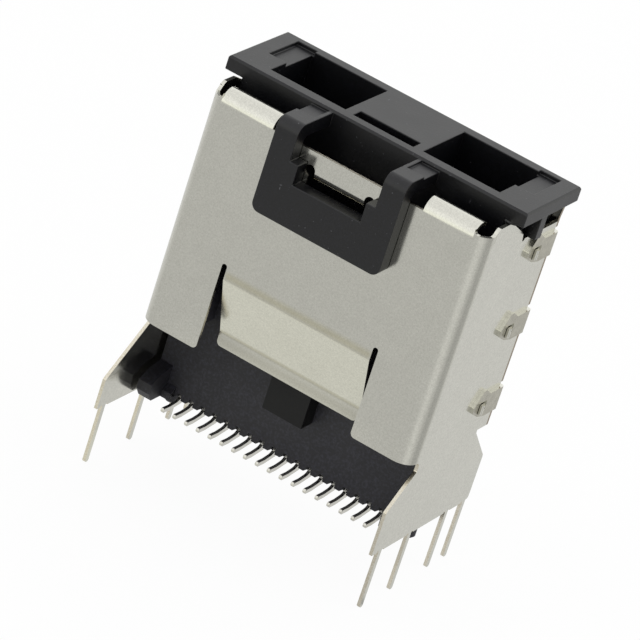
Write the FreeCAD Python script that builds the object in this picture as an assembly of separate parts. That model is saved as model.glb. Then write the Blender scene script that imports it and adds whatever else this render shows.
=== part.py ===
"""Vertical 36-contact board receptacle in a folded metal shell, with its dust cap clipped in.

Millimetres. The origin lies on the circuit board's top face, midway between the two rows of
contact feet. +Z points up out of the board, -Y towards the latch side and +X to the right.
"""
import FreeCAD
import Part
import math
import os

Vector = FreeCAD.Vector

# How far a cutter runs past what it cuts, and how deep a joined piece starts inside its neighbour
OVERCUT = 1.0
EMBED = 0.1

# Contacts
PITCH = 0.8
CONTACTS_PER_ROW = 18
ROW_HALF_LENGTH = (CONTACTS_PER_ROW - 1) / 2 * PITCH
BLADE = 0.20
FOOT_REACH = 3.34
FOOT_HEIGHT = 0.29
FOOT_FLAT = 0.9
FOOT_SLOPE = 0.10
FOOT_TIP_CHAMFER = 0.09
STEM_OUTER = 1.28
STEM_DEPTH = 0.36
STEM_TOP = 9.0
BEAM_DEPTH = 0.20
BEAM_TOP = 13.4
BEAM_NOSE = 0.60
BEAM_LAND = 0.15
BEAM_LEAD_IN = 0.22
STEM_TAPER = 0.6
CONTACT_GAP = 0.42
FOOT_BEND_RADIUS = 0.30

# Overall width, which follows the contact rows
SHEET = 0.20
SHELL_END_MARGIN = 2.15
SHELL_HALF_WIDTH = ROW_HALF_LENGTH + SHELL_END_MARGIN

# Moulded housing
HOUSING_HALF_DEPTH = 1.60
WALL_BOTTOM = 0.38
NOSE_TOP = 14.2
NOSE_END_MARGIN = 0.95
NOSE_HALF_WIDTH = ROW_HALF_LENGTH + NOSE_END_MARGIN
CARD_SLOT_WIDTH = 1.20
CARD_SLOT_END_MARGIN = 0.50
CARD_SLOT_HALF_LENGTH = ROW_HALF_LENGTH + CARD_SLOT_END_MARGIN
CARD_SLOT_FLOOR = 9.3
COLLAR_BOTTOM = 7.0
COLLAR_TOP = 9.0
NOSE_CHAMFER = 0.3
CAVITY_CLEARANCE = 0.05
BEAM_HEADROOM = 0.3
NOTCH_TOP = 0.95
TOOTH_CHAMFER = 0.16
HOUSING_END_CLEARANCE = 0.20
HOUSING_HALF_WIDTH = SHELL_HALF_WIDTH - SHEET - HOUSING_END_CLEARANCE
END_BLOCK_WIDTH = 1.43
END_BLOCK_FRONT = 2.08
END_BLOCK_TOP = 0.72
END_BLOCK_ROOT_TOP = 1.05
FOOT_WIDTH = 0.85
FOOT_BOTTOM = 0.29
FOOT_TOE_Y = 3.05
FOOT_NOSE_Y = 3.52
FOOT_NOSE_Z = 0.83
FOOT_BROW_Z = 1.41
FOOT_KNEE_Y = 2.70
FOOT_KNEE_Z = 1.88
FOOT_ROOT_Z = 2.12
BUMP_HALF_WIDTH = 1.30
BUMP_FRONT = 2.80
BUMP_BOTTOM = 3.25
BUMP_RAMP = 0.35
PEG_RADIUS = 0.42
PEG_INSET = 0.50
PEG_Y = 0.15
PEG_LENGTH = 0.88
PEG_CHAMFER = 0.14

# Folded shell
PANEL_FRONT = 5.12
SHELL_REAR = 3.75
CORNER_RADIUS = 1.05
FLAP_END_INSET = 0.85
PANEL_BOTTOM = 5.65
LEG_CORNER_RADIUS = 0.28
LIP_CLEARANCE = 0.05
TONGUE_BAY_MARGIN = 0.2

# Top rim of the front panel and of the side walls
STRAP_TOP = 19.55
STRAP_BOTTOM = 18.45
STRAP_HALF_LENGTH = 1.60
STRAP_HEM_RADIUS = 0.60
FLAP_INNER = 4.96
FLAP_CURL_START = 19.44
FLAP_CURL_RADIUS = 0.80
FLAP_CURL_ANGLE = 122.0
SIDE_FLAP_REAR = 2.78
SIDE_FLAP_START = 19.3
SIDE_FLAP_RADIUS = 1.9
SIDE_FLAP_ANGLE = 54.0
CORNER_RELIEF_BOTTOM = 19.70
CORNER_RELIEF_RADIUS = 0.30
REAR_RIM = 18.55
RIM_TOP = 19.80
RIM_STEP_Y = 0.46
RIM_STEP_TOP_Y = 0.62
RIM_STEP_TOP = 18.97
RIM_SLOPE_TOP_Y = 2.0
RIM_NOTCH_Y = 0.33
RIM_NOTCH_RADIUS = 0.14

# Latch window below the strap
WINDOW_HALF_WIDTH = 1.93
WINDOW_BOTTOM = 16.3
WINDOW_RELIEF_RADIUS = 0.33

# Spring tongue between the two slots
SLOT_X = 4.95
SLOT_WIDTH = 0.32
SLOT_TOP = 11.10
TONGUE_BEND = 10.30
TONGUE_KNEE = 6.70
TONGUE_LIP_BOTTOM = 5.83
TONGUE_LIP_FRONT = 3.80
TONGUE_BEND_RADIUS = 0.35
TONGUE_HALF_WIDTH_TOP = 4.79
TONGUE_HALF_WIDTH_LIP = 4.62

# Side plates with their solder tails
PLATE_BOTTOM = 0.43
PLATE_REAR = 4.65
PLATE_REAR_TOP = 3.36
PLATE_CORNER_RADIUS = 0.35
PLATE_SMALL_RADIUS = 0.15
PLATE_WAIST_Y = 2.57
PLATE_WAIST_Z = 5.45
PLATE_NECK_DEPTH = 0.22
PLATE_NECK_HEIGHT = 0.60
RIGHT_PLATE_FRONT = 6.05
RIGHT_PLATE_KNEE = 3.15
LEFT_PLATE_FRONT = 7.07
LEFT_PLATE_KNEE = 2.32
TAIL_WIDTH = 0.33
TAIL_LENGTH = 3.20
TAIL_TIP_RADIUS = 0.15
RIGHT_FRONT_TAIL = 5.14
LEFT_FRONT_TAIL = 6.37
SECOND_TAIL = 1.88
THIRD_TAIL = 2.25
FOURTH_TAIL = 4.21
ROOT_RELIEF_RADIUS = 0.10

# Rear shell and its locking tabs
TAB_PITCH = 4.88
TAB_LOWEST = 7.52
TAB_COUNT = 3
TAB_NECK_HALF = 0.72
TAB_NECK_Y = 2.15
TAB_TIP_Y = 0.55
TAB_TIP_HIGH = 0.24
TAB_TIP_LOW = 0.10
TAB_SHOULDER_Y = 1.20
TAB_SHOULDER_HIGH = 1.10
TAB_CROWN_Y = 1.52
TAB_CROWN_HIGH = 1.12
TAB_CHIN_Y = 1.30
TAB_CHIN_LOW = 0.52
TAB_CORNER_RADIUS = 0.14
TAB_SLOT_FRONT_Y = 1.15
TAB_SLOT_REAR_Y = 2.00
TAB_SLOT_HALF_LENGTH = 0.36
TAB_RELIEF = 0.20
BUMP_PROUD = 0.42
BUMP_CREST = 0.18
BUMP_CLEARANCE = 0.06
REAR_LIP_START = 18.75
REAR_LIP_TOP = 20.0
REAR_LIP_ANGLE = 13.0
REAR_LIP_RADIUS = 0.6

# Dust cap
CAP_CENTRE_Y = 0.43
CAP_OVERHANG = 0.69
CAP_HALF_LENGTH = SHELL_HALF_WIDTH + CAP_OVERHANG
CAP_HALF_DEPTH = 3.10
CAP_TOP = 21.04
CAP_FLANGE = 0.86
CAP_BODY_CLEARANCE = 0.25
CAP_BODY_HALF_LENGTH = SHELL_HALF_WIDTH - SHEET - CAP_BODY_CLEARANCE
CAP_BODY_BOTTOM = 14.9
CAP_BODY_CHAMFER = 0.4
CAP_REAR_CLEARANCE = 0.18
CAP_FLOOR = 0.9
WINDOW_INNER = 2.53
WINDOW_END_WALL = 1.10
WINDOW_OUTER = CAP_BODY_HALF_LENGTH - WINDOW_END_WALL
WINDOW_FRONT_WALL = 0.81
WINDOW_REAR_WALL = 0.83
PAD_REACH = 1.18
PAD_OUTER = WINDOW_OUTER + PAD_REACH
PAD_LENGTH = 3.11
PAD_REAR_WALL = 0.55
PAD_DEPTH = 0.24
THUMB_SLOT_HALF_LENGTH = 1.93
THUMB_SLOT_WIDTH = 0.83
THUMB_SLOT_DEPTH = 3.2
THUMB_SLOT_WALL = 0.71
RIB_OVERHANG = 0.45
RIB_OUTER = SHELL_HALF_WIDTH + RIB_OVERHANG
RIB_FRONT_Y = 0.08
RIB_DEPTH = 0.68
CAP_EDGE = 0.10

# Clip of the dust cap
CLIP_FRONT = 6.13
CLIP_CLEARANCE = 0.03
CLIP_HALF_WIDTH = 4.12
CLIP_BOTTOM = 15.27
CLIP_BOTTOM_RADIUS = 0.50
CLIP_INNER_TOP = 2.75
CLIP_INNER_LOW = 2.18
CLIP_STEP = 18.85
CLIP_WINDOW_BOTTOM = 17.68
CLIP_TOP_DROP = 0.10
CLIP_ARM = 0.86
CLIP_BEND_RADIUS = 0.62
CLIP_INNER_RADIUS = 0.25
CLIP_RIM = 0.24
CLIP_RIM_RECESS = 0.16
CLIP_RECESS_LENGTH = 1.65


def polygon_face(points, plane, at):
    """Makes a flat face from outline points in the xy, xz or yz plane, at that offset."""
    place = {
        "xy": lambda a, b: Vector(a, b, at),
        "xz": lambda a, b: Vector(a, at, b),
        "yz": lambda a, b: Vector(at, a, b),
    }[plane]
    corners = [place(a, b) for a, b in points]
    return Part.Face(Part.makePolygon(corners + corners[:1]))


def prism(points, plane, low, high):
    """Extrudes an outline from one offset to another, across its plane."""
    normal = {"xy": Vector(0, 0, 1), "xz": Vector(0, 1, 0), "yz": Vector(1, 0, 0)}[plane]
    return polygon_face(points, plane, low).extrude(normal * (high - low))


def block(x, y, z):
    """Makes a box from three (low, high) pairs."""
    return Part.makeBox(x[1] - x[0], y[1] - y[0], z[1] - z[0], Vector(x[0], y[0], z[0]))


def mirror_x(shape):
    """Returns the shape's twin on the other side of the middle plane."""
    return shape.mirror(Vector(0, 0, 0), Vector(1, 0, 0))


def rounded(shape, radius, chosen):
    """Rounds the edges whose midpoint and direction the test accepts."""
    edges = []
    for edge in shape.Edges:
        middle = edge.valueAt((edge.FirstParameter + edge.LastParameter) / 2)
        run = edge.Vertexes[-1].Point - edge.Vertexes[0].Point
        if run.Length > 0 and chosen(middle, run.normalize()):
            edges.append(edge)
    return shape.makeFillet(radius, edges)


def along(axis):
    """Returns a test that is true for a direction along the axis."""
    unit = {"x": Vector(1, 0, 0), "y": Vector(0, 1, 0), "z": Vector(0, 0, 1)}[axis]
    return lambda run: abs(run.dot(unit)) > 0.999


def near(value, target):
    """Says whether two places agree within a hundredth of a millimetre."""
    return abs(value - target) < 0.01


def ring_sector(plane, centre, outer, inner, start, end, low, high):
    """Extrudes a ring sector across its plane, with angles in degrees: a bend in sheet metal."""
    def on(radius, angle):
        turn = math.radians(angle)
        a = centre[0] + radius * math.cos(turn)
        b = centre[1] + radius * math.sin(turn)
        return {"xy": Vector(a, b, low), "xz": Vector(a, low, b), "yz": Vector(low, a, b)}[plane]
    middle = (start + end) / 2
    edges = [
        Part.Arc(on(outer, start), on(outer, middle), on(outer, end)).toShape(),
        Part.makeLine(on(outer, end), on(inner, end)),
        Part.Arc(on(inner, end), on(inner, middle), on(inner, start)).toShape(),
        Part.makeLine(on(inner, start), on(outer, start)),
    ]
    normal = {"xy": Vector(0, 0, 1), "xz": Vector(0, 1, 0), "yz": Vector(1, 0, 0)}[plane]
    return Part.Face(Part.Wire(edges)).extrude(normal * (high - low))


def strip_along(points, radius, thickness, low, high):
    """Bends a strip of sheet along yz points, with the sheet on the left of the path.

    The radius is the one at the path's own side of each bend, which the sheet wraps.
    """
    solids = []
    path = [Vector(0, y, z) for y, z in points]
    entry = path[0]
    for before, corner, after in zip(path, path[1:], path[2:]):
        into = (corner - before).normalize()
        out = (after - corner).normalize()
        turn = math.atan2(into.y * out.z - into.z * out.y, into.dot(out))
        sweep_radius = radius if turn < 0 else radius + thickness
        cut = sweep_radius * math.tan(abs(turn) / 2)
        start = corner - into * cut
        solids.append(straight_strip(entry, start, thickness, low, high))
        side = 1 if turn > 0 else -1
        centre = start + Vector(0, -into.z, into.y) * side * sweep_radius
        angle = math.degrees(math.atan2(start.z - centre.z, start.y - centre.y))
        far = sweep_radius - side * thickness
        radii = (max(sweep_radius, far), min(sweep_radius, far))
        angles = (angle, angle + math.degrees(turn))
        solids.append(ring_sector("yz", (centre.y, centre.z), *radii, *angles, low, high))
        entry = corner + out * cut
    solids.append(straight_strip(entry, path[-1], thickness, low, high))
    return solids[0].multiFuse(solids[1:]).removeSplitter()


def straight_strip(start, end, thickness, low, high):
    """Makes one flat stretch of a bent strip, with the sheet on its left."""
    run = (end - start).normalize()
    left = Vector(0, -run.z, run.y) * thickness
    corners = [start, end, end + left, start + left]
    return prism([(p.y, p.z) for p in corners], "yz", low, high)


def contact_centres():
    """Lists the x places of one row's contacts, left to right."""
    return [PITCH * index - ROW_HALF_LENGTH for index in range(CONTACTS_PER_ROW)]


def contact_blade():
    """Makes one front-row contact at x = 0: foot, stem and spring beam, stamped as a blade."""
    stem_inner = STEM_OUTER - STEM_DEPTH
    heel = FOOT_REACH - FOOT_FLAT
    tip = FOOT_REACH - FOOT_TIP_CHAMFER
    crown = CONTACT_GAP + BEAM_LEAD_IN
    outline = [
        (-FOOT_REACH, FOOT_TIP_CHAMFER),
        (-tip, 0.0),
        (-heel, 0.0),
        (-STEM_OUTER, FOOT_SLOPE),
        (-stem_inner, FOOT_SLOPE + BEAM_DEPTH),
        (-stem_inner, STEM_TOP),
        (-STEM_OUTER + BEAM_DEPTH, STEM_TOP + STEM_TAPER),
        (-CONTACT_GAP, BEAM_TOP - BEAM_NOSE - BEAM_LAND),
        (-CONTACT_GAP, BEAM_TOP - BEAM_NOSE),
        (-crown, BEAM_TOP),
        (-crown - BEAM_DEPTH, BEAM_TOP),
        (-CONTACT_GAP - BEAM_DEPTH, BEAM_TOP - BEAM_NOSE - BEAM_LAND / 2),
        (-STEM_OUTER, STEM_TOP + STEM_TAPER),
        (-STEM_OUTER, FOOT_SLOPE + FOOT_HEIGHT),
        (-heel, FOOT_HEIGHT),
        (-tip, FOOT_HEIGHT),
        (-FOOT_REACH, FOOT_HEIGHT - FOOT_TIP_CHAMFER),
    ]
    blade = prism(outline, "yz", -BLADE / 2, BLADE / 2)
    return rounded(blade, FOOT_BEND_RADIUS, lambda m, run: along("x")(run)
                   and near(m.y, -STEM_OUTER) and near(m.z, FOOT_SLOPE + FOOT_HEIGHT))


def contact_cavity():
    """Makes the space that one front-row contact needs inside the housing, at x = 0."""
    outer = STEM_OUTER + CAVITY_CLEARANCE
    inner = STEM_OUTER - STEM_DEPTH
    outline = [
        (-HOUSING_HALF_DEPTH - OVERCUT, -OVERCUT),
        (-inner, -OVERCUT),
        (-inner, CARD_SLOT_FLOOR),
        (0, CARD_SLOT_FLOOR),
        (0, BEAM_TOP + BEAM_HEADROOM),
        (-outer, BEAM_TOP + BEAM_HEADROOM),
        (-outer, NOTCH_TOP),
        (-HOUSING_HALF_DEPTH - OVERCUT, NOTCH_TOP),
    ]
    half = BLADE / 2 + CAVITY_CLEARANCE
    cavity = prism(outline, "yz", -half, half)
    low = WALL_BOTTOM - TOOTH_CHAMFER
    high = WALL_BOTTOM + TOOTH_CHAMFER
    mouth = [(-half - 2 * TOOTH_CHAMFER, low), (half, low), (half, high), (-half, high)]
    relief = prism(mouth, "xz", -HOUSING_HALF_DEPTH - OVERCUT, -STEM_OUTER)
    return cavity.fuse(relief)


def housing():
    """Makes the moulded insulator: wall block, collar, nose, feet, pegs and every cavity."""
    depth = HOUSING_HALF_DEPTH
    body = block((-HOUSING_HALF_WIDTH, HOUSING_HALF_WIDTH), (-depth, depth), (WALL_BOTTOM, COLLAR_TOP))
    nose = block((-NOSE_HALF_WIDTH, NOSE_HALF_WIDTH), (-depth, depth), (COLLAR_TOP, NOSE_TOP))
    nose = nose.makeChamfer(NOSE_CHAMFER, [e for e in nose.Edges if near(e.BoundBox.ZMin, NOSE_TOP)])
    body = body.fuse([collar(), nose, front_bump()] + end_blocks() + feet() + pegs()).removeSplitter()
    cuts = [block((-CARD_SLOT_HALF_LENGTH, CARD_SLOT_HALF_LENGTH),
                  (-CARD_SLOT_WIDTH / 2, CARD_SLOT_WIDTH / 2), (CARD_SLOT_FLOOR, NOSE_TOP + OVERCUT))]
    cavity = contact_cavity()
    for x in contact_centres():
        front = cavity.translated(Vector(x, 0, 0))
        cuts.append(front)
        cuts.append(front.rotated(Vector(0, 0, 0), Vector(0, 0, 1), 180))
    return body.cut(cuts)


def collar():
    """Makes the collar that fills the shell behind the legs, stepped back behind the tongue."""
    side = SHELL_HALF_WIDTH - SHEET
    front = PANEL_FRONT - SHEET
    rear = SHELL_REAR - SHEET
    middle = TONGUE_LIP_FRONT - SHEET - LIP_CLEARANCE
    bay = SLOT_X + SLOT_WIDTH / 2 + TONGUE_BAY_MARGIN
    corner = CORNER_RADIUS - SHEET + LIP_CLEARANCE
    outline = [
        (-side, rear), (-side, -front + corner), (-side + corner, -front), (-bay, -front),
        (-bay, -middle), (bay, -middle), (bay, -front), (side - corner, -front),
        (side, -front + corner), (side, rear),
    ]
    return prism(outline, "xy", COLLAR_BOTTOM, COLLAR_TOP)


def front_bump():
    """Makes the block in the middle of the front wall, which backs the tongue's lip."""
    lip_back = TONGUE_LIP_FRONT - SHEET - LIP_CLEARANCE
    outline = [
        (-HOUSING_HALF_DEPTH, BUMP_BOTTOM),
        (-BUMP_FRONT, BUMP_BOTTOM),
        (-BUMP_FRONT, TONGUE_LIP_BOTTOM - BUMP_RAMP),
        (-lip_back, TONGUE_LIP_BOTTOM),
        (-lip_back, COLLAR_BOTTOM),
        (-HOUSING_HALF_DEPTH, COLLAR_BOTTOM),
    ]
    return prism(outline, "yz", -BUMP_HALF_WIDTH, BUMP_HALF_WIDTH)


def end_blocks():
    """Makes the thickened ends of the wall's lower edge."""
    front = -END_BLOCK_FRONT
    outline = [
        (front, FOOT_BOTTOM),
        (-front, FOOT_BOTTOM),
        (-front, END_BLOCK_TOP),
        (HOUSING_HALF_DEPTH, END_BLOCK_ROOT_TOP),
        (-HOUSING_HALF_DEPTH, END_BLOCK_ROOT_TOP),
        (front, END_BLOCK_TOP),
    ]
    right = prism(outline, "yz", HOUSING_HALF_WIDTH - END_BLOCK_WIDTH, HOUSING_HALF_WIDTH)
    return [right, mirror_x(right)]


def feet():
    """Makes the two feet that stand forward from the wall's ends."""
    outline = [
        (-HOUSING_HALF_DEPTH, FOOT_BOTTOM),
        (-FOOT_TOE_Y, FOOT_BOTTOM),
        (-FOOT_NOSE_Y, FOOT_NOSE_Z),
        (-FOOT_NOSE_Y, FOOT_BROW_Z),
        (-FOOT_KNEE_Y, FOOT_KNEE_Z),
        (-HOUSING_HALF_DEPTH, FOOT_ROOT_Z),
    ]
    right = prism(outline, "yz", HOUSING_HALF_WIDTH - FOOT_WIDTH, HOUSING_HALF_WIDTH)
    return [right, mirror_x(right)]


def pegs():
    """Makes the two locating pegs that enter the board."""
    height = PEG_LENGTH + FOOT_BOTTOM
    right = Part.makeCylinder(PEG_RADIUS, height, Vector(HOUSING_HALF_WIDTH - PEG_INSET, PEG_Y, -PEG_LENGTH))
    right = right.makeChamfer(PEG_CHAMFER, [e for e in right.Edges if near(e.BoundBox.ZMax, -PEG_LENGTH)])
    return [right, mirror_x(right)]


def side_wall(front, knee, front_tail):
    """Makes the right side wall with its lower plate, solder tails and rim flap."""
    low, high = SHELL_HALF_WIDTH - SHEET, SHELL_HALF_WIDTH
    rear = SHELL_REAR - SHEET
    bend = PANEL_FRONT - CORNER_RADIUS
    neck = -bend + PLATE_NECK_DEPTH
    neck_bottom = PANEL_BOTTOM - PLATE_NECK_HEIGHT
    outline = [
        (-bend, SIDE_FLAP_START), (-bend, PANEL_BOTTOM), (neck, PANEL_BOTTOM - PLATE_NECK_DEPTH),
        (neck, neck_bottom), (-front, knee), (-front, PLATE_BOTTOM),
        (PLATE_REAR, PLATE_BOTTOM), (PLATE_REAR, PLATE_REAR_TOP),
        (PLATE_WAIST_Y, PLATE_WAIST_Z), (PLATE_WAIST_Y, PANEL_BOTTOM), (rear, PANEL_BOTTOM), (rear, REAR_RIM),
        (-RIM_STEP_Y, REAR_RIM), (-RIM_STEP_TOP_Y, RIM_STEP_TOP), (-RIM_SLOPE_TOP_Y, RIM_TOP),
        (-SIDE_FLAP_REAR, RIM_TOP), (-SIDE_FLAP_REAR, SIDE_FLAP_START),
    ]
    wall = prism(outline, "yz", low, high)
    rear_corners = [(PLATE_REAR, PLATE_BOTTOM), (PLATE_REAR, PLATE_REAR_TOP)]
    small_corners = [(PLATE_WAIST_Y, PLATE_WAIST_Z), (-front, knee), (neck, neck_bottom)]
    for corners, radius in ((rear_corners, PLATE_CORNER_RADIUS), (small_corners, PLATE_SMALL_RADIUS)):
        wall = rounded(wall, radius, lambda m, run: along("x")(run) and any(
            near(m.y, y) and near(m.z, z) for y, z in corners))
    tail_places = (-front_tail, -SECOND_TAIL, THIRD_TAIL, FOURTH_TAIL)
    wall = wall.fuse([solder_tail(y, low, high) for y in tail_places] + [side_flap()]).removeSplitter()
    cuts = [round_hole(-RIM_NOTCH_Y, REAR_RIM, RIM_NOTCH_RADIUS)]
    for y in tail_places:
        for side in (-1, 1):
            beside = y + side * (TAIL_WIDTH / 2 + ROOT_RELIEF_RADIUS)
            cuts.append(round_hole(beside, PLATE_BOTTOM, ROOT_RELIEF_RADIUS))
    return wall.cut(cuts)


def round_hole(y, z, radius):
    """Makes the cutter of a round hole through the right side wall."""
    return Part.makeCylinder(radius, SHEET, Vector(SHELL_HALF_WIDTH - SHEET, y, z), Vector(1, 0, 0))


def solder_tail(y, low, high):
    """Makes one solder tail with a rounded tip, from inside the plate down."""
    half = TAIL_WIDTH / 2
    tail = block((low, high), (y - half, y + half), (-TAIL_LENGTH, PLATE_BOTTOM + EMBED))
    return rounded(tail, TAIL_TIP_RADIUS, lambda m, run: along("x")(run) and near(m.z, -TAIL_LENGTH))


def side_flap():
    """Makes the curved flap on top of the right side wall, which guides the plug in."""
    centre = (SHELL_HALF_WIDTH - SIDE_FLAP_RADIUS, SIDE_FLAP_START)
    radii = (SIDE_FLAP_RADIUS, SIDE_FLAP_RADIUS - SHEET)
    return ring_sector("xz", centre, *radii, 0, SIDE_FLAP_ANGLE, CORNER_RADIUS - PANEL_FRONT, -SIDE_FLAP_REAR)


def side_bumps():
    """Makes the ramps lanced out of the right side wall, which catch the rear shell's tabs."""
    base = SHELL_HALF_WIDTH - SHEET / 2
    crest = SHELL_HALF_WIDTH + BUMP_PROUD
    front = TAB_SLOT_FRONT_Y + BUMP_CLEARANCE
    rear = TAB_SLOT_REAR_Y - BUMP_CLEARANCE
    outline = [
        (base, front), (crest, front), (crest, front + BUMP_CREST), (SHELL_HALF_WIDTH, rear), (base, rear),
    ]
    reach = TAB_SLOT_HALF_LENGTH - BUMP_CLEARANCE
    ramp = prism(outline, "xy", -reach, reach)
    ramp = rounded(ramp, BUMP_CREST / 2, lambda m, run: along("z")(run) and near(m.x, crest))
    return [ramp.translated(Vector(0, 0, z)) for z in tab_heights()]


def tab_heights():
    """Lists the heights of the locking tabs' centres."""
    return [TAB_LOWEST + TAB_PITCH * index for index in range(TAB_COUNT)]


def front_panel():
    """Makes the front panel with its window, slots, rim steps, corner bends, flaps and tongue."""
    half = SHELL_HALF_WIDTH - CORNER_RADIUS
    outer, inner = -PANEL_FRONT, -PANEL_FRONT + SHEET
    right_half = [
        (half, PANEL_BOTTOM), (half, FLAP_CURL_START), (FLAP_INNER, FLAP_CURL_START), (FLAP_INNER, STRAP_TOP),
    ]
    outline = right_half + [(-x, z) for x, z in reversed(right_half)]
    panel = prism(outline, "xz", outer, inner)
    bend = ring_sector("xy", (half, CORNER_RADIUS - PANEL_FRONT), CORNER_RADIUS, CORNER_RADIUS - SHEET, 270, 360,
                       PANEL_BOTTOM, CORNER_RELIEF_BOTTOM + CORNER_RELIEF_RADIUS)
    bend = bend.cut(block((half - OVERCUT, SHELL_HALF_WIDTH - FLAP_END_INSET), (-PANEL_FRONT - OVERCUT, 0),
                          (FLAP_CURL_START, RIM_TOP + OVERCUT)))
    pieces = [bend, mirror_x(bend), front_flap(-1), front_flap(1)]
    panel = panel.fuse(pieces).removeSplitter()
    return panel.cut(panel_cuts()).fuse([tongue(), strap_hem()]).removeSplitter()


def front_flap(side):
    """Makes one curled flap on the front panel's rim."""
    centre = (-PANEL_FRONT + FLAP_CURL_RADIUS, FLAP_CURL_START)
    span = sorted((side * FLAP_INNER, side * (SHELL_HALF_WIDTH - FLAP_END_INSET)))
    radii = (FLAP_CURL_RADIUS, FLAP_CURL_RADIUS - SHEET)
    return ring_sector("yz", centre, *radii, 180, 180 - FLAP_CURL_ANGLE, *span)


def panel_cuts():
    """Lists what is cut out of the front panel: slots, tongue bay, window and corner reliefs."""
    front, back = -PANEL_FRONT - OVERCUT, -PANEL_FRONT + SHEET + OVERCUT
    slot_outer = SLOT_X + SLOT_WIDTH / 2
    centre = SLOT_TOP - SLOT_WIDTH / 2
    cuts = [block((-slot_outer, slot_outer), (front, back), (PANEL_BOTTOM - OVERCUT, TONGUE_BEND))]
    forward = Vector(0, 1, 0)
    for side in (-1, 1):
        x = side * SLOT_X
        span = (x - SLOT_WIDTH / 2, x + SLOT_WIDTH / 2)
        cuts.append(block(span, (front, back), (TONGUE_BEND - EMBED, centre)))
        cuts.append(Part.makeCylinder(SLOT_WIDTH / 2, back - front, Vector(x, front, centre), forward))
        cuts.append(Part.makeCylinder(WINDOW_RELIEF_RADIUS, back - front,
                                      Vector(side * WINDOW_HALF_WIDTH, front, STRAP_BOTTOM), forward))
        cuts.append(corner_relief(side))
    cuts.append(block((-WINDOW_HALF_WIDTH, WINDOW_HALF_WIDTH), (front, back), (WINDOW_BOTTOM, STRAP_BOTTOM)))
    return cuts


def corner_relief(side):
    """Makes the round-cornered notch that parts the front flap from the side flap."""
    left = SHELL_HALF_WIDTH - FLAP_END_INSET
    rear = -PANEL_FRONT + CORNER_RADIUS
    notch = block((left, SHELL_HALF_WIDTH + OVERCUT), (-PANEL_FRONT - OVERCUT, rear),
                  (CORNER_RELIEF_BOTTOM, RIM_TOP + OVERCUT))
    notch = rounded(notch, CORNER_RELIEF_RADIUS, lambda m, run: near(m.z, CORNER_RELIEF_BOTTOM)
                    and (near(m.x, left) or near(m.y, rear)))
    return notch if side > 0 else mirror_x(notch)


def tongue():
    """Makes the spring tongue: slanted back from the panel, then a lip parallel to it."""
    points = [
        (-PANEL_FRONT, TONGUE_BEND + EMBED),
        (-PANEL_FRONT, TONGUE_BEND - EMBED),
        (-TONGUE_LIP_FRONT, TONGUE_KNEE),
        (-TONGUE_LIP_FRONT, TONGUE_LIP_BOTTOM),
    ]
    half = TONGUE_HALF_WIDTH_TOP
    strip = strip_along(points, TONGUE_BEND_RADIUS, SHEET, -half, half)
    right_half = [
        (TONGUE_HALF_WIDTH_LIP, TONGUE_LIP_BOTTOM), (half, TONGUE_BEND - EMBED), (half, TONGUE_BEND + OVERCUT),
    ]
    outline = right_half + [(-x, z) for x, z in reversed(right_half)]
    trimmed = strip.common(prism(outline, "xz", -PANEL_FRONT - OVERCUT, 0))
    return rounded(trimmed, LEG_CORNER_RADIUS, lambda m, run: along("y")(run) and near(m.z, TONGUE_LIP_BOTTOM))


def strap_hem():
    """Makes the rolled lower edge of the latch strap, where the plug's latch bears."""
    centre = (-PANEL_FRONT + STRAP_HEM_RADIUS, STRAP_BOTTOM)
    return ring_sector("yz", centre, STRAP_HEM_RADIUS, STRAP_HEM_RADIUS - SHEET, 180, 270,
                       -STRAP_HALF_LENGTH, STRAP_HALF_LENGTH)


def front_shell():
    """Makes the folded front shell: panel, both side walls, plates and tails, as one sheet."""
    right = side_wall(RIGHT_PLATE_FRONT, RIGHT_PLATE_KNEE, RIGHT_FRONT_TAIL)
    left = mirror_x(side_wall(LEFT_PLATE_FRONT, LEFT_PLATE_KNEE, LEFT_FRONT_TAIL))
    bumps = side_bumps()
    shell = front_panel().fuse([right, left] + bumps + [mirror_x(bump) for bump in bumps]).removeSplitter()
    leg_edge = SLOT_X + SLOT_WIDTH / 2
    return rounded(shell, LEG_CORNER_RADIUS, lambda m, run: along("y")(run)
                   and near(m.z, PANEL_BOTTOM) and near(abs(m.x), leg_edge))


def locking_tab(z):
    """Makes one right-hand locking tab: pointed head, neck, bend and slot for the ramp."""
    low = SHELL_HALF_WIDTH
    inner = SHELL_REAR - SHEET
    neck = TAB_NECK_HALF
    outline = [
        (inner, z - neck),
        (TAB_NECK_Y, z - neck),
        (TAB_CHIN_Y, z - TAB_CHIN_LOW),
        (TAB_TIP_Y, z - TAB_TIP_LOW),
        (TAB_TIP_Y, z + TAB_TIP_HIGH),
        (TAB_SHOULDER_Y, z + TAB_SHOULDER_HIGH),
        (TAB_CROWN_Y, z + TAB_CROWN_HIGH),
        (TAB_NECK_Y, z + neck),
        (inner, z + neck),
    ]
    head = prism(outline, "yz", low, low + SHEET)
    head = rounded(head, TAB_CORNER_RADIUS, lambda m, run: along("x")(run) and m.y < TAB_CROWN_Y + EMBED)
    bend = Part.makeCylinder(SHEET, 2 * neck, Vector(low, inner, z - neck), Vector(0, 0, 1), 90)
    slot = block((low - OVERCUT, low + OVERCUT), (TAB_SLOT_FRONT_Y, TAB_SLOT_REAR_Y),
                 (z - TAB_SLOT_HALF_LENGTH, z + TAB_SLOT_HALF_LENGTH))
    return head.fuse(bend).cut(rounded(slot, TAB_CORNER_RADIUS, lambda m, run: along("x")(run)))


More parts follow.
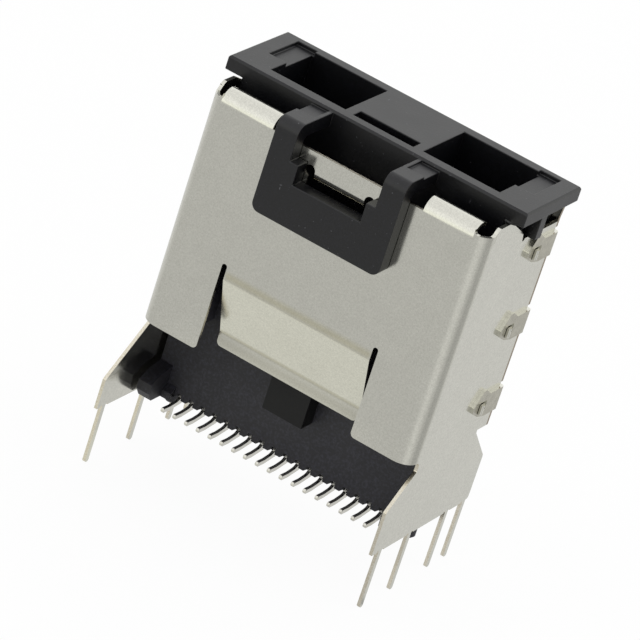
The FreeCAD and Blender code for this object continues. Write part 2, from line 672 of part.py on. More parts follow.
def rear_shell():
    """Makes the rear shell: a flat plate with locking tabs at both sides and a flared lip."""
    inner = SHELL_REAR - SHEET
    plate = block((-SHELL_HALF_WIDTH, SHELL_HALF_WIDTH), (inner, SHELL_REAR), (PANEL_BOTTOM, REAR_LIP_START))
    flare = math.tan(math.radians(REAR_LIP_ANGLE)) * (REAR_LIP_TOP - REAR_LIP_START)
    path = [
        (SHELL_REAR, REAR_LIP_START - REAR_LIP_RADIUS), (SHELL_REAR, REAR_LIP_START),
        (SHELL_REAR + flare, REAR_LIP_TOP),
    ]
    lip = strip_along(path, REAR_LIP_RADIUS, SHEET, -SHELL_HALF_WIDTH, SHELL_HALF_WIDTH)
    shape = plate.fuse(lip)
    right = [locking_tab(z) for z in tab_heights()]
    shape = shape.fuse(right + [mirror_x(tab) for tab in right]).removeSplitter()
    cuts = []
    for z in tab_heights():
        for edge in (z - TAB_NECK_HALF - TAB_RELIEF, z + TAB_NECK_HALF):
            notch = block((SHELL_HALF_WIDTH - SHEET, SHELL_HALF_WIDTH + OVERCUT),
                          (inner - OVERCUT, SHELL_REAR + OVERCUT), (edge, edge + TAB_RELIEF))
            cuts += [notch, mirror_x(notch)]
    return shape.cut(cuts)


def cap_front():
    """Gives the y of the cap's front face."""
    return CAP_CENTRE_Y - CAP_HALF_DEPTH


def cap_rear():
    """Gives the y of the flange's rear face."""
    return CAP_CENTRE_Y + CAP_HALF_DEPTH


def cap_body():
    """Makes the flange and the hollow plug below it, with windows, slot, pads and ribs."""
    front, rear = cap_front(), cap_rear()
    flange = block((-CAP_HALF_LENGTH, CAP_HALF_LENGTH), (front, rear), (CAP_TOP - CAP_FLANGE, CAP_TOP))
    flange = flange.makeChamfer(CAP_EDGE, [e for e in flange.Edges if near(e.BoundBox.ZMin, CAP_TOP)])
    plug_rear = SHELL_REAR - SHEET - CAP_REAR_CLEARANCE
    plug = block((-CAP_BODY_HALF_LENGTH, CAP_BODY_HALF_LENGTH), (front, plug_rear),
                 (CAP_BODY_BOTTOM, CAP_TOP - CAP_FLANGE + EMBED))
    plug = plug.makeChamfer(CAP_BODY_CHAMFER, [e for e in plug.Edges if near(e.BoundBox.ZMax, CAP_BODY_BOTTOM)])
    rib = block((CAP_BODY_HALF_LENGTH - EMBED, RIB_OUTER), (RIB_FRONT_Y, RIB_FRONT_Y + RIB_DEPTH),
                (REAR_RIM, CAP_TOP - CAP_FLANGE + EMBED))
    body = flange.fuse([plug, rib, mirror_x(rib)]).removeSplitter()
    return body.cut(cap_cuts(front, rear))


def cap_cuts(front, rear):
    """Lists the cap's windows, the pads beside them and the thumb slot."""
    cuts = []
    for side in (-1, 1):
        window = sorted((side * WINDOW_INNER, side * WINDOW_OUTER))
        cuts.append(block(window, (front + WINDOW_FRONT_WALL, rear - WINDOW_REAR_WALL),
                          (CAP_BODY_BOTTOM + CAP_FLOOR, CAP_TOP + OVERCUT)))
        pad = sorted((side * (WINDOW_OUTER - EMBED), side * PAD_OUTER))
        pad_rear = rear - PAD_REAR_WALL
        cuts.append(block(pad, (pad_rear - PAD_LENGTH, pad_rear), (CAP_TOP - PAD_DEPTH, CAP_TOP + OVERCUT)))
    slot_front = front + THUMB_SLOT_WALL
    cuts.append(block((-THUMB_SLOT_HALF_LENGTH, THUMB_SLOT_HALF_LENGTH),
                      (slot_front, slot_front + THUMB_SLOT_WIDTH),
                      (CAP_TOP - THUMB_SLOT_DEPTH, CAP_TOP + OVERCUT)))
    return cuts


def clip_profile():
    """Makes the clip's side profile over its full width: arm, bend and hanging plate."""
    top = CAP_TOP - CLIP_TOP_DROP
    root = cap_front() + EMBED
    back = -PANEL_FRONT - CLIP_CLEARANCE
    outline = [
        (root, top), (-CLIP_FRONT, top), (-CLIP_FRONT, CLIP_BOTTOM), (back, CLIP_BOTTOM),
        (back, top - CLIP_ARM), (root, top - CLIP_ARM),
    ]
    solid = prism(outline, "yz", -CLIP_HALF_WIDTH, CLIP_HALF_WIDTH)
    solid = rounded(solid, CLIP_BEND_RADIUS, lambda m, run: along("x")(run)
                    and near(m.y, -CLIP_FRONT) and near(m.z, top))
    return rounded(solid, CLIP_INNER_RADIUS, lambda m, run: along("x")(run)
                   and near(m.y, back) and near(m.z, top - CLIP_ARM))


def clip():
    """Makes the U-shaped clip that hangs from the cap over the latch window."""
    front = cap_front()
    right_half = [
        (CLIP_INNER_LOW, CLIP_WINDOW_BOTTOM), (CLIP_INNER_LOW, CLIP_STEP), (CLIP_INNER_TOP, CLIP_STEP),
        (CLIP_INNER_TOP, CAP_TOP + OVERCUT),
    ]
    outline = right_half + [(-x, z) for x, z in reversed(right_half)]
    cuts = [prism(outline, "xz", -CLIP_FRONT - OVERCUT, front)]
    for side in (-1, 1):
        span = sorted((side * (CLIP_INNER_TOP + CLIP_RIM), side * (CLIP_HALF_WIDTH + OVERCUT)))
        cuts.append(block(span, (front - CLIP_RECESS_LENGTH, front),
                          (CAP_TOP - CLIP_TOP_DROP - CLIP_RIM_RECESS, CAP_TOP + OVERCUT)))
    solid = clip_profile().cut(cuts)
    return rounded(solid, CLIP_BOTTOM_RADIUS, lambda m, run: along("y")(run) and near(m.z, CLIP_BOTTOM))


def dust_cap():
    """Makes the whole moulded cap: body and clip in one piece."""
    return cap_body().fuse(clip()).removeSplitter()


def write(name, shape):
    """Writes one piece to the parts folder."""
    shape.Solids[0].exportStep("parts/%s.step" % name)


def main():
    """Builds every piece and writes it to the parts folder."""
    os.makedirs("parts", exist_ok=True)
    write("front_shell", front_shell())
    write("rear_shell", rear_shell())
    write("housing", housing())
    write("dust_cap", dust_cap())
    blade = contact_blade()
    for number, x in enumerate(contact_centres(), 1):
        front = blade.translated(Vector(x, 0, 0))
        write("front_contact_%02d" % number, front)
        write("rear_contact_%02d" % number, front.rotated(Vector(0, 0, 0), Vector(0, 0, 1), 180))


main()
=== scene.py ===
"""The looks of a vertical mini SAS board receptacle: folded shell, dust cap, moulded housing and blade contacts.

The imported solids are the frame. Each visible solid gets a dressed copy with broken edges and its own finish,
and the studio around it has a pale floor, soft lamps and a camera at the photograph's angle.
"""

import logging
import math
from collections.abc import Callable, Sequence
from dataclasses import dataclass, field
from enum import Enum

import bpy
from mathutils import Matrix, Vector
from mathutils.bvhtree import BVHTree

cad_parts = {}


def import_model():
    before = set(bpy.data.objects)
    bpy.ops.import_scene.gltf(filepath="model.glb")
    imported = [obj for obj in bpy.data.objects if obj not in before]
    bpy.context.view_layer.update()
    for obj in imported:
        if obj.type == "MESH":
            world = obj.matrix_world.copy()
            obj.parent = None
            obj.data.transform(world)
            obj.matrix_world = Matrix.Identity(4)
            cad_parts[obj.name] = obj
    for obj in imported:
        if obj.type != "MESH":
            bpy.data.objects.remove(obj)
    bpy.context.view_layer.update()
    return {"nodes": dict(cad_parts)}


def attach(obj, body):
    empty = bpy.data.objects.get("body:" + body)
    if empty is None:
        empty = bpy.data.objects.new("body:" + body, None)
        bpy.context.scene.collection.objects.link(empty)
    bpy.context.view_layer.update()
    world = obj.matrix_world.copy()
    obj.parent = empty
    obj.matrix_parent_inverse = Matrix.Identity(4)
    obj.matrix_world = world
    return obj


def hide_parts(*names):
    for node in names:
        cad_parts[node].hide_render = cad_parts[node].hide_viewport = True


LOG = logging.getLogger("receptacle")
# One millimetre in metres. A name that ends in mm holds millimetres, and the pieces are shaped in millimetres too.
MM = 0.001
HAIR_MM = 0.001
NEAR_MM = 0.01
WELD_MM = 0.0005
FLAT_DEG = 0.6
CLOUD_SPAN = (0.3, 0.7)
GRAIN_SPAN = (0.25, 0.75)
WHITE = "#ffffff"
BODY = "root"


class Slot(Enum):
    """The record's material slots."""

    SHELL = "shell"
    HOUSING = "housing"
    DUST_CAP = "dust_cap"
    CONTACTS = "contacts"


class Seen(Enum):
    """The rays that see a plain white backdrop, with the share of it that each one sees."""

    CAMERA = ("Is Camera Ray", 0.95)
    GLOSSY = ("Is Glossy Ray", 0.88)
    TRANSMISSION = ("Is Transmission Ray", 0.88)


def linear(code: str) -> tuple[float, float, float, float]:
    """Turns an sRGB hex colour into linear RGBA.

    Args:
        code: the colour as "#rrggbb".

    Returns:
        The linear red, green, blue and an alpha of one.
    """
    channels = [int(code[i:i + 2], 16) / 255 for i in (1, 3, 5)]
    bent = [c / 12.92 if c <= 0.04045 else ((c + 0.055) / 1.055) ** 2.4 for c in channels]
    return (bent[0], bent[1], bent[2], 1.0)


def add_node(tree: bpy.types.NodeTree, kind: str, sockets: dict | None = None, links: dict | None = None,
             **settings: object) -> bpy.types.Node:
    """Adds a node with its settings, socket values and incoming links.

    Args:
        tree: the node tree that gets the node.
        kind: the node's type without its "ShaderNode" prefix.
        sockets: values by input name or number.
        links: output sockets by input name or number.
        settings: the node's own properties.

    Returns:
        The new node.
    """
    node = tree.nodes.new("ShaderNode" + kind)
    for name, value in settings.items():
        setattr(node, name, value)
    for key, value in (sockets or {}).items():
        node.inputs[key].default_value = value
    for key, source in (links or {}).items():
        tree.links.new(source, node.inputs[key])
    return node


def new_material(name: str) -> tuple[bpy.types.Material, bpy.types.NodeTree, bpy.types.NodeSocket]:
    """Makes an empty node material.

    Args:
        name: the finish's name.

    Returns:
        The material, its cleared tree and the object coordinates' output.
    """
    material = bpy.data.materials.new(name)
    material.use_nodes = True
    material.node_tree.nodes.clear()
    place = add_node(material.node_tree, "TexCoord")
    return material, material.node_tree, place.outputs["Object"]


def close_material(tree: bpy.types.NodeTree, shader: bpy.types.Node) -> None:
    """Joins a shader to the material's output."""
    add_node(tree, "OutputMaterial", links={"Surface": shader.outputs[0]})


def noise(tree: bpy.types.NodeTree, place: bpy.types.NodeSocket, size_mm: float, detail: float,
          roughness: float = 0.5) -> bpy.types.NodeSocket:
    """Adds a noise whose features have a size in millimetres.

    Args:
        tree: the material's node tree.
        place: the object coordinates.
        size_mm: the size of one feature.
        detail: how many finer layers it has.
        roughness: how strong the finer layers are.

    Returns:
        The output socket of the noise, from 0 to 1.
    """
    return add_node(tree, "TexNoise", {"Scale": 1.0 / (size_mm * MM), "Detail": detail, "Roughness": roughness},
                    {"Vector": place}).outputs["Fac"]


def remap(tree: bpy.types.NodeTree, value: bpy.types.NodeSocket, span: tuple[float, float],
          result: tuple[float, float], **settings: object) -> bpy.types.NodeSocket:
    """Maps one range of a value to another.

    Args:
        tree: the node tree.
        value: the value's output socket.
        span: the range that the value is read over.
        result: the range that it is mapped to.
        settings: the map node's own properties.

    Returns:
        The output socket of the mapped value.
    """
    return add_node(tree, "MapRange", {"From Min": span[0], "From Max": span[1], "To Min": result[0],
                                       "To Max": result[1]}, {"Value": value}, **settings).outputs["Result"]


def ramp(tree: bpy.types.NodeTree, value: bpy.types.NodeSocket,
         stops: Sequence[tuple[float, tuple[float, ...]]]) -> bpy.types.NodeSocket:
    """Turns a value into a colour.

    Args:
        tree: the node tree.
        value: the value's output socket.
        stops: positions and linear colours, in rising order.

    Returns:
        The output socket of the colour.
    """
    node = add_node(tree, "ValToRGB", links={"Fac": value})
    marks_and_shade = node.color_ramp.elements
    for _ in stops[2:]:
        marks_and_shade.new(0.5)
    for mark, (position, colour) in zip(marks_and_shade, stops, strict=True):
        mark.position = position
        mark.color = colour
    return node.outputs["Color"]


def plateau(tree: bpy.types.NodeTree, value: bpy.types.NodeSocket, centre: float, inner: float,
            outer: float) -> bpy.types.NodeSocket:
    """Makes a soft-edged band around one value.

    Args:
        tree: the material's node tree.
        value: the coordinate that the band lies across.
        centre: the band's middle in millimetres.
        inner: the distance up to which the band is full.
        outer: the distance at which it has faded out.

    Returns:
        The output socket of the band, from 0 to 1.
    """
    offset = add_node(tree, "Math", {1: centre * MM}, {0: value}, operation="SUBTRACT")
    distance = add_node(tree, "Math", links={0: offset.outputs[0]}, operation="ABSOLUTE")
    return remap(tree, distance.outputs[0], (inner * MM, outer * MM), (1.0, 0.0), interpolation_type="SMOOTHSTEP")


@dataclass(frozen=True)
class BendMarkAndShade:
    """The mark that a press brake's tool leaves across the front of the sheet, a faint darker line, or a band of
    painted shade.
    """

    height_mm: float
    half_height_mm: float
    half_length_mm: float
    tint: str
    fade_mm: float = 0.3
    front_mm: tuple[float, float, float] = (-5.0, 1.6, 1.9)

    def over(self, tree: bpy.types.NodeTree, place: bpy.types.NodeSocket,
             tone: bpy.types.NodeSocket) -> bpy.types.NodeSocket:
        """Tints the sheet's tone in a band, as a tool's mark or as painted shade.

        Args:
            tree: the material's node tree.
            place: the object coordinates.
            tone: the sheet's colour so far.

        Returns:
            The output socket of the marked colour.
        """
        axes = add_node(tree, "SeparateXYZ", links={0: place})
        line = plateau(tree, axes.outputs["Z"], self.height_mm, 0.0, self.half_height_mm)
        length = plateau(tree, axes.outputs["X"], 0.0, self.half_length_mm - self.fade_mm, self.half_length_mm)
        share = add_node(tree, "Math", links={0: line, 1: length}, operation="MULTIPLY")
        front = plateau(tree, axes.outputs["Y"], *self.front_mm)
        share = add_node(tree, "Math", links={0: share.outputs[0], 1: front}, operation="MULTIPLY")
        return add_node(tree, "MixRGB", {2: linear(self.tint)}, {0: share.outputs[0], 1: tone},
                        blend_type="MULTIPLY").outputs[0]


@dataclass(frozen=True)
class NickelPlatedStrip:
    """Nickel-plated copper alloy strip, cold rolled and stamped: a warm grey satin mirror with a fine grain."""

    name: str = "nickel_plated_strip"
    bright: str = "#d5d4ca"
    dull: str = "#d1d0c6"
    cloud_mm: float = 1.6
    grain_mm: float = 0.10
    grain_share: float = 0.10
    roughness: tuple[float, float] = (0.15, 0.19)
    grain_height_mm: float = 0.0010
    marks_and_shade: tuple[BendMarkAndShade, ...] = ()

    def material(self) -> bpy.types.Material:
        """Builds the strip's material: plating clouds, rolled grain, bend marks, painted shade bands and a satin
        gloss.
        """
        material, tree, place = new_material(self.name)
        clouds = noise(tree, place, self.cloud_mm, 3.0, 0.55)
        tone = ramp(tree, clouds, list(zip(CLOUD_SPAN, (linear(self.dull), linear(self.bright)), strict=True)))
        grain = noise(tree, place, self.grain_mm, 2.0)
        speckle = remap(tree, grain, GRAIN_SPAN, (1 - self.grain_share, 1 + self.grain_share))
        colour = add_node(tree, "VectorMath", links={0: tone, "Scale": speckle}, operation="SCALE").outputs[0]
        for mark in self.marks_and_shade:
            colour = mark.over(tree, place, colour)
        gloss = remap(tree, clouds, CLOUD_SPAN, self.roughness)
        bump = add_node(tree, "Bump", {"Strength": 0.5, "Distance": self.grain_height_mm * MM}, {"Height": grain})
        shader = add_node(tree, "BsdfPrincipled", {"Metallic": 1.0},
                          {"Base Color": colour, "Roughness": gloss, "Normal": bump.outputs["Normal"]})
        close_material(tree, shader)
        return material


@dataclass(frozen=True)
class ShearedEdge:
    """The strip's bare cut edge, half sheared and half torn: warmer and rougher than the plated faces."""

    name: str = "sheared_copper_alloy_edge"
    shear: str = "#e4dfd0"
    tear: str = "#cdc4af"
    streak_mm: float = 0.06
    streak_span: tuple[float, float] = (0.35, 0.6)
    roughness: float = 0.26

    def material(self) -> bpy.types.Material:
        """Builds the edge's material: fine streaks between the sheared and the torn tone."""
        material, tree, place = new_material(self.name)
        streaks = noise(tree, place, self.streak_mm, 2.0)
        tone = ramp(tree, streaks, list(zip(self.streak_span, (linear(self.tear), linear(self.shear)), strict=True)))
        shader = add_node(tree, "BsdfPrincipled", {"Metallic": 1.0, "Roughness": self.roughness}, {"Base Color": tone})
        close_material(tree, shader)
        return material


@dataclass(frozen=True)
class MouldedPlastic:
    """Glass-filled moulding compound from a spark-eroded mould: matt, near black, with a fine pebbled skin."""

    name: str
    base: str
    speck: str
    pebble_mm: float
    pebble_height_mm: float
    roughness: tuple[float, float]
    scuff: str = "#000000"
    scuff_share: float = 0.0
    scuff_mm: float = 0.16
    scuff_span: tuple[float, float] = (0.75, 0.80)
    speck_span: tuple[float, float] = (0.45, 0.78)
    cloud_mm: float = 3.0
    ior: float = 1.5

    def material(self) -> bpy.types.Material:
        """Builds the plastic's material: pebbled bump, pale specks of filler, rare scuffs and uneven gloss."""
        material, tree, place = new_material(self.name)
        pebbles = noise(tree, place, self.pebble_mm, 3.0)
        tone = ramp(tree, pebbles, list(zip(self.speck_span, (linear(self.base), linear(self.speck)), strict=True)))
        scuffs = remap(tree, noise(tree, place, self.scuff_mm, 1.0), self.scuff_span, (0.0, self.scuff_share))
        worn = add_node(tree, "MixRGB", {2: linear(self.scuff)}, {0: scuffs, 1: tone})
        gloss = remap(tree, noise(tree, place, self.cloud_mm, 2.0), CLOUD_SPAN, self.roughness)
        bump = add_node(tree, "Bump", {"Strength": 0.6, "Distance": self.pebble_height_mm * MM}, {"Height": pebbles})
        shader = add_node(tree, "BsdfPrincipled", {"IOR": self.ior},
                          {"Base Color": worn.outputs[0], "Roughness": gloss, "Normal": bump.outputs["Normal"]})
        close_material(tree, shader)
        return material


@dataclass(frozen=True)
class PaleFloor:
    """Matt white paper: plain white to the camera; to the metal it shows painted light and shade: bright and dark
    sectors, a warm painted pool of light and a brighter distance.
    """

    name: str = "matt_white_paper"
    paper: str = "#e6e6e4"
    fibre: str = "#dededb"
    fibre_mm: float = 1.5
    corner_mm: tuple[float, float, float] = (8.6, -4.8, 0.0)
    # Painted light and shade for the metal's reflections: the paper's brightness by direction around the part's
    # corner.
    painted_shade_levels: tuple[tuple[float, float], ...] = (
        (-105.0, 0.78), (-75.0, 0.62), (0.0, 0.62), (28.0, 0.65), (46.0, 0.79), (62.0, 0.79), (88.0, 0.56),
        (104.0, 0.43), (120.0, 0.46), (140.0, 0.75),
    )
    # A painted pool of light near the part, which the metal mirrors.
    painted_light_pool: tuple[float, float, float] = (0.87, 0.87, 0.82)
    painted_light_pool_centre_mm: tuple[float, float, float] = (-6.5, -12.0, -3.2)
    painted_light_pool_mm: tuple[float, float] = (8.2, 10.5)
    # Painted light: the paper mirrored brighter in the distance.
    painted_far_light: tuple[float, float, float] = (1.30, 1.30, 1.20)
    painted_far_light_mm: tuple[float, float] = (75.0, 260.0)

    def mirrored(self, tree: bpy.types.NodeTree, place: bpy.types.NodeSocket) -> bpy.types.NodeSocket:
        """Works out how bright the paper is in a mirror, by its direction from the part's front right corner: painted
        light and shade for the metal's reflections.

        Args:
            tree: the material's node tree.
            place: the object coordinates.

        Returns:
            The output socket of the mirrored colour.
        """
        corner = tuple(c * MM for c in self.corner_mm)
        moved = add_node(tree, "VectorMath", {1: corner}, {0: place}, operation="SUBTRACT")
        axes = add_node(tree, "SeparateXYZ", links={0: moved.outputs[0]})
        forward = add_node(tree, "Math", {1: -1.0}, {0: axes.outputs["Y"]}, operation="MULTIPLY")
        turn = add_node(tree, "Math", links={0: axes.outputs["X"], 1: forward.outputs[0]}, operation="ARCTAN2")
        share = remap(tree, turn.outputs[0], (-math.pi, math.pi), (0.0, 1.0))
        level = ramp(tree, share, [(0.5 + degrees / 360, (grey, grey, grey, 1.0)) for degrees, grey in self.painted_shade_levels])
        centre = tuple(c * MM for c in self.painted_light_pool_centre_mm)
        reach = add_node(tree, "VectorMath", {1: centre}, {0: place}, operation="DISTANCE")
        in_painted_pool = remap(tree, reach.outputs["Value"], (self.painted_light_pool_mm[0] * MM, self.painted_light_pool_mm[1] * MM), (1.0, 0.0),
                     interpolation_type="SMOOTHSTEP")
        lit_pool = add_node(tree, "MixRGB", {2: (*self.painted_light_pool, 1.0)}, {0: in_painted_pool, 1: level})
        away = add_node(tree, "VectorMath", links={0: place}, operation="LENGTH")
        distance = remap(tree, away.outputs["Value"], (self.painted_far_light_mm[0] * MM, self.painted_far_light_mm[1] * MM), (0.0, 1.0),
                         interpolation_type="SMOOTHSTEP")
        return add_node(tree, "MixRGB", {2: (*self.painted_far_light, 1.0)}, {0: distance, 1: lit_pool.outputs[0]}).outputs[0]

    def material(self) -> bpy.types.Material:
        """Builds the paper's material, with a white of its own for the rays that see the backdrop."""
        material, tree, place = new_material(self.name)
        tone = ramp(tree, noise(tree, place, self.fibre_mm, 4.0),
                    [(0.0, linear(self.fibre)), (1.0, linear(self.paper))])
        paper = add_node(tree, "BsdfDiffuse", links={"Color": tone})
        path = add_node(tree, "LightPath")
        seen = add_node(tree, "MixRGB", {1: linear(WHITE)},
                        {0: path.outputs["Is Glossy Ray"], 2: self.mirrored(tree, place)})
        white = add_node(tree, "Emission", {"Strength": 1.0}, {"Color": seen.outputs[0]})
        mixed = add_node(tree, "MixShader", links={0: white_share(tree), 1: paper.outputs[0], 2: white.outputs[0]})
        close_material(tree, mixed)
        return material


def white_share(tree: bpy.types.NodeTree) -> bpy.types.NodeSocket:
    """Adds up how much of the plain white backdrop the present ray sees.

    Args:
        tree: the floor's or the world's node tree.

    Returns:
        The output socket of the share, from 0 to 1.
    """
    path = add_node(tree, "LightPath")
    total = None
    for seen in Seen:
        output, share = seen.value
        part = add_node(tree, "Math", {1: share}, {0: path.outputs[output]}, operation="MULTIPLY")
        if total is not None:
            part = add_node(tree, "Math", links={0: total, 1: part.outputs[0]}, operation="MAXIMUM")
        total = part.outputs[0]
    return total


def select_only(thing: bpy.types.Object) -> None:
    """Deselects everything, then selects one object and makes it active."""
    bpy.ops.object.select_all(action="DESELECT")
    thing.select_set(True)
    bpy.context.view_layer.objects.active = thing


def pick_vertices(piece: bpy.types.Object, wanted: Callable[[Vector], bool]) -> None:
    """Selects the vertices at the wanted places, and leaves the piece in edit mode.

    Args:
        piece: the mesh object.
        wanted: tells whether a place is wanted.
    """
    select_only(piece)
    bpy.ops.object.mode_set(mode="EDIT")
    bpy.ops.mesh.select_mode(type="VERT")
    bpy.ops.mesh.select_all(action="DESELECT")
    bpy.ops.object.mode_set(mode="OBJECT")
    for vertex in piece.data.vertices:
        vertex.select = wanted(vertex.co)
    bpy.ops.object.mode_set(mode="EDIT")


@dataclass
class DressedSolid:
    """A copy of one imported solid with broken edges, finished by hand as a bench piece."""

    node: str
    name: str
    slot: Slot
    edge_mm: float
    finishes: list[bpy.types.Material] = field(default_factory=list)
    segments: int = 2
    sharp_deg: float = 28.0
    smooth_deg: float = 32.0
    sheet_mm: float = 0.0
    flat_weight: int = 60
    sheet_slack: float = 1.2
    opposed: float = -0.8

    def copy(self, source: bpy.types.Object) -> bpy.types.Object:
        """Copies the solid's mesh at bench scale, one unit a millimetre, and merges its loose triangles.

        Args:
            source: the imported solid's object.

        Returns:
            The new object.
        """
        piece = bpy.data.objects.new(self.name, source.data.copy())
        bpy.context.scene.collection.objects.link(piece)
        piece.data.materials.clear()
        piece.data.transform(Matrix.Scale(1 / MM, 4))
        select_only(piece)
        bpy.ops.object.mode_set(mode="EDIT")
        bpy.ops.mesh.select_all(action="SELECT")
        bpy.ops.mesh.remove_doubles(threshold=WELD_MM)
        bpy.ops.mesh.customdata_custom_splitnormals_clear()
        bpy.ops.mesh.dissolve_limited(angle_limit=math.radians(FLAT_DEG))
        bpy.ops.object.mode_set(mode="OBJECT")
        return piece

    def reshape(self, piece: bpy.types.Object) -> None:
        """Leaves the copy as it is; a solid with finer forms in the scene changes its copy here."""

    def finish_of(self, place: Vector, normal: Vector, through: bool) -> int:
        """Chooses a face's finish: the first where the sheet's other side lies behind it, else the second."""
        return 0 if through else 1

    def break_edges(self, piece: bpy.types.Object) -> None:
        """Rounds the sharp edges by a bevel, and smooths the curved faces without shading the flat ones."""
        select_only(piece)
        bevel = piece.modifiers.new("broken edges", "BEVEL")
        bevel.width = self.edge_mm
        bevel.segments = self.segments
        bevel.limit_method = "ANGLE"
        bevel.angle_limit = math.radians(self.sharp_deg)
        bpy.ops.object.modifier_apply(modifier=bevel.name)
        bpy.ops.object.shade_smooth_by_angle(angle=math.radians(self.smooth_deg))
        flats = piece.modifiers.new("flat faces stay flat", "WEIGHTED_NORMAL")
        flats.keep_sharp = True
        flats.weight = self.flat_weight
        bpy.ops.object.modifier_apply(modifier=flats.name)

    def paint_faces(self, piece: bpy.types.Object) -> None:
        """Gives the sheet's faces the first finish and its cut edges the second, by the thickness behind each."""
        for finish in self.finishes:
            piece.data.materials.append(finish)
        if len(self.finishes) < 2:
            return
        mesh = piece.data
        mesh.calc_loop_triangles()
        tree = BVHTree.FromPolygons([v.co for v in mesh.vertices], [t.vertices for t in mesh.loop_triangles])
        largest = {}
        for triangle in mesh.loop_triangles:
            known = largest.get(triangle.polygon_index)
            if known is None or triangle.area > known.area:
                largest[triangle.polygon_index] = triangle
        for face in mesh.polygons:
            triangle = largest[face.index]
            middle = sum((mesh.vertices[v].co for v in triangle.vertices), Vector()) / 3
            hit, normal, _, depth = tree.ray_cast(middle - face.normal * 2 * HAIR_MM, -face.normal)
            thin = hit is not None and depth < self.sheet_mm * self.sheet_slack
            through = thin and normal.dot(face.normal) < self.opposed
            face.material_index = self.finish_of(middle, face.normal, through)

    def build(self, nodes: dict[str, bpy.types.Object]) -> bpy.types.Object:
        """Makes the whole piece and puts it in the solid's place.

        Args:
            nodes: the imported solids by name.

        Returns:
            The finished piece.
        """
        piece = self.copy(nodes[self.node])
        self.reshape(piece)
        self.break_edges(piece)
        self.paint_faces(piece)
        piece.data.transform(Matrix.Scale(MM, 4))
        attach(piece, BODY)
        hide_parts(self.node)
        LOG.info("%s: %d faces", self.name, len(piece.data.polygons))
        return piece


@dataclass
class FrontSheet(DressedSolid):
    """The front shell, whose side walls end in upright ears with a rounded front corner."""

    wall_mm: float = 8.95
    curl_radius_mm: float = 1.9
    curl_start_mm: float = 19.3
    curl_deg: float = 54.0
    curl_skin_mm: tuple[float, float] = (-0.215, 0.015)
    stub_mm: float = 0.30
    ear_mm: float = 0.80
    ear_radius_mm: float = 0.35
    ear_segments: int = 5
    ear_span_mm: tuple[float, float] = (-4.08, -2.77)
    rim_top_mm: float = 19.80
    rim_rear_mm: float = -1.995
    rim_reach_mm: float = 0.83
    overlap_mm: float = 0.02
    cover_mm: float = 0.006
    flap_from_mm: float = 19.46
    flap_end_mm: float = -4.96
    flap_growth_mm: float = 0.24

    def reshape(self, piece: bpy.types.Object) -> None:
        """Turns the side walls' curled rims into upright ears, and lengthens the left flap towards the clip."""
        axis = self.wall_mm - self.curl_radius_mm
        for vertex in piece.data.vertices:
            place = vertex.co
            if place.z < self.curl_start_mm + HAIR_MM or not self.ear_span_mm[0] < place.y < self.ear_span_mm[1]:
                continue
            arm = Vector((abs(place.x) - axis, place.z - self.curl_start_mm))
            if not self.curl_skin_mm[0] < arm.length - self.curl_radius_mm < self.curl_skin_mm[1]:
                continue
            angle = math.degrees(math.atan2(arm.y, arm.x))
            place.x = math.copysign(axis + arm.length, place.x)
            place.z = self.curl_start_mm + self.stub_mm * angle / self.curl_deg
        pick_vertices(piece, lambda p: p.z > self.flap_from_mm and abs(p.x - self.flap_end_mm) < 2 * NEAR_MM)
        bpy.ops.transform.translate(value=(self.flap_growth_mm, 0, 0))
        bpy.ops.object.mode_set(mode="OBJECT")
        for side in (-1.0, 1.0):
            ear = self.ear(side)
            select_only(piece)
            ear.select_set(True)
            bpy.ops.object.join()

    def ear(self, side: float) -> bpy.types.Object:
        """Models one wall's upright ear: a plate with a round front corner and a top that falls to the rear.

        Args:
            side: -1 for the left wall, 1 for the right one.

        Returns:
            The new object, at bench scale.
        """
        front, rear = self.ear_span_mm
        low = self.curl_start_mm - self.overlap_mm
        top = self.curl_start_mm + self.ear_mm + self.cover_mm
        thick = self.sheet_mm + 2 * self.cover_mm
        bpy.ops.object.select_all(action="DESELECT")
        bpy.ops.mesh.primitive_cube_add(size=1.0, location=(side * (self.wall_mm - self.sheet_mm / 2),
                                                            (front + rear) / 2, (low + top) / 2))
        plate = bpy.context.active_object
        plate.scale = (thick, rear - front, top - low)
        bpy.ops.object.transform_apply(location=True, rotation=False, scale=True)
        pick_vertices(plate, lambda p: p.y > rear - NEAR_MM)
        bpy.ops.mesh.extrude_region_move(TRANSFORM_OT_translate={"value": (0, self.rim_rear_mm - rear, 0)})
        bpy.ops.object.mode_set(mode="OBJECT")
        pick_vertices(plate, lambda p: p.y > rear + NEAR_MM and p.z > low + NEAR_MM)
        bpy.ops.transform.translate(value=(0, 0, self.rim_top_mm + self.cover_mm - top))
        bpy.ops.object.mode_set(mode="OBJECT")
        pick_vertices(plate, lambda p: p.y < front + NEAR_MM and p.z > top - NEAR_MM)
        bpy.ops.mesh.bevel(offset=self.ear_radius_mm, segments=self.ear_segments, affect="EDGES")
        bpy.ops.object.mode_set(mode="OBJECT")
        return plate

    def finish_of(self, place: Vector, normal: Vector, through: bool) -> int:
        """Keeps the lanced ramps and the rims of ears and corners plated, and the other cut edges bare."""
        lanced = abs(place.x) > self.wall_mm + NEAR_MM
        high = place.z > self.curl_start_mm and place.y < self.rim_rear_mm
        rim = high and abs(place.x) > self.wall_mm - self.rim_reach_mm
        return 0 if through or lanced or rim else 1


